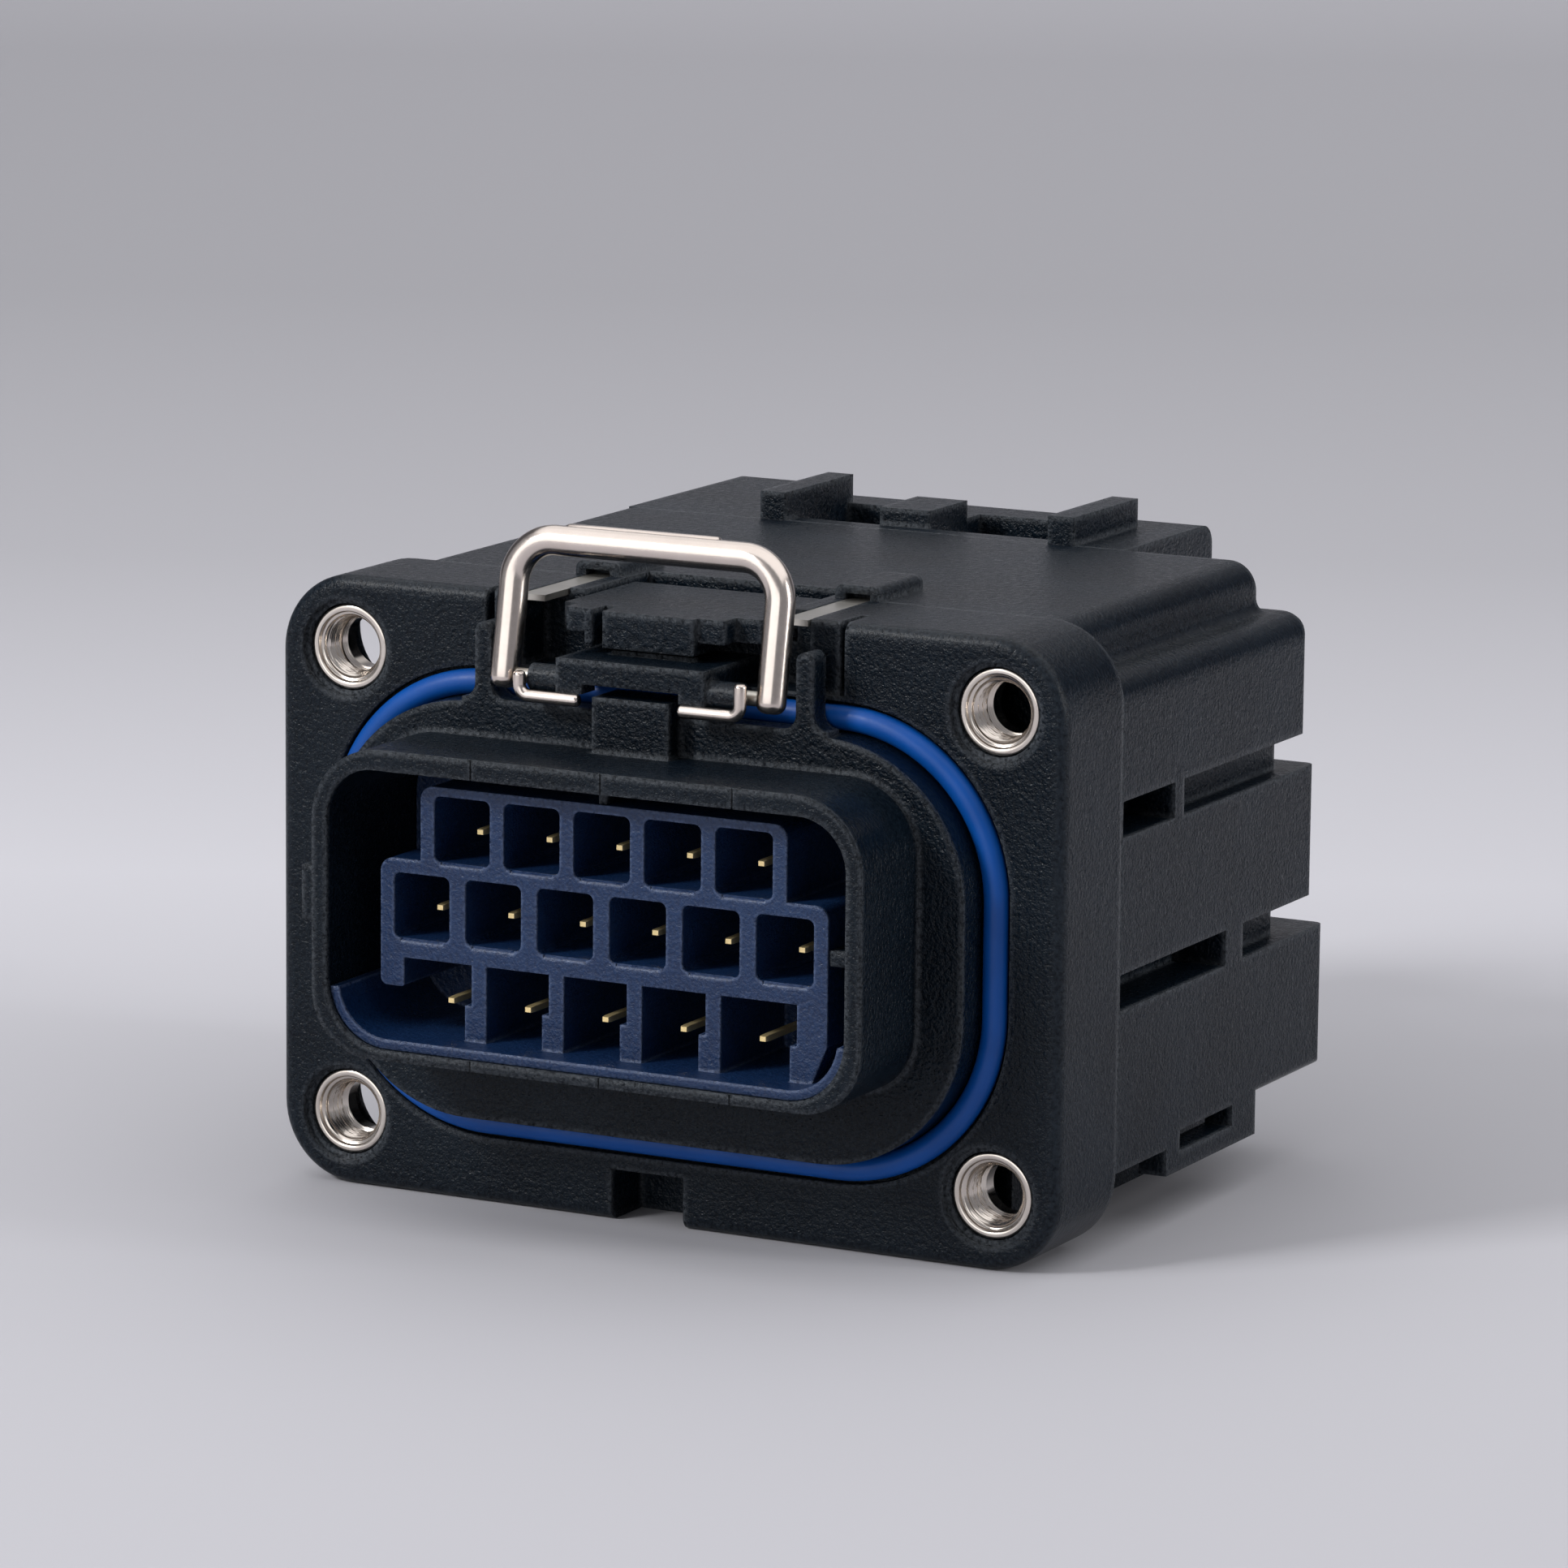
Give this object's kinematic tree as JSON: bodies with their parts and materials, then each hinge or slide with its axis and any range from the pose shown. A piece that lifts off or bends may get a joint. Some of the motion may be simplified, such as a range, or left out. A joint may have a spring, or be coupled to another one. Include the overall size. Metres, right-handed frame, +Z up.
{
  "type": "heavy duty connector housing",
  "caption": "Panel connector housing with a bolted flange, a sealed plug shroud, a contact insert, a swinging wire bail and a rear body with wire entries.",
  "frame": {"origin": "centre of the bolt pattern on the flange's front face", "axes": "+X across the flange, +Y back from the flange into the rear body, +Z up towards the bail"},
  "size_m": [0.07, 0.0792, 0.0563],
  "materials": {
    "black_plastic": "fine spark-eroded grain",
    "navy_plastic": "satin moulded",
    "blue_rubber": "satin silicone",
    "nickel": "satin nickel plating",
    "spring_steel": "bright spring steel",
    "gold": "gold plating"
  },
  "bodies": {
    "housing": {"front_housing": "black_plastic", "rear_body": "black_plastic", "rear_hood": "black_plastic", "rear_retainer": "black_plastic", "wire_seal": "blue_rubber", "contact_insert": "navy_plastic", "face_seal": "blue_rubber", "bush_1": "nickel", "bush_2": "nickel", "bush_3": "nickel", "bush_4": "nickel", "hinge_block": "black_plastic", "pivot_clip_left": "spring_steel", "pivot_clip_right": "spring_steel", "spring_strip_left": "spring_steel", "spring_strip_right": "spring_steel", "contact_a1": "gold", "contact_a2": "gold", "contact_a3": "gold", "contact_a4": "gold", "contact_a5": "gold", "contact_b1": "gold", "contact_b2": "gold", "contact_b3": "gold", "contact_b4": "gold", "contact_b5": "gold", "contact_b6": "gold", "contact_c1": "gold", "contact_c2": "gold", "contact_c3": "gold", "contact_c4": "gold", "contact_c5": "gold"},
    "bail": {"bail": "nickel"},
    "lock_slide": {"lock_slide": "black_plastic"}
  },
  "joints": [
    {"name": "bail_swing", "type": "hinge", "parent": "housing", "child": "bail", "pos_m": [0, -0.0041, 0.0192], "axis": [1, 0, 0], "range_deg": [-12, 100]},
    {"name": "lock_travel", "type": "slide", "parent": "housing", "child": "lock_slide", "axis": [0, 1, 0], "range_m": [0, 0.0026]}
  ]
}
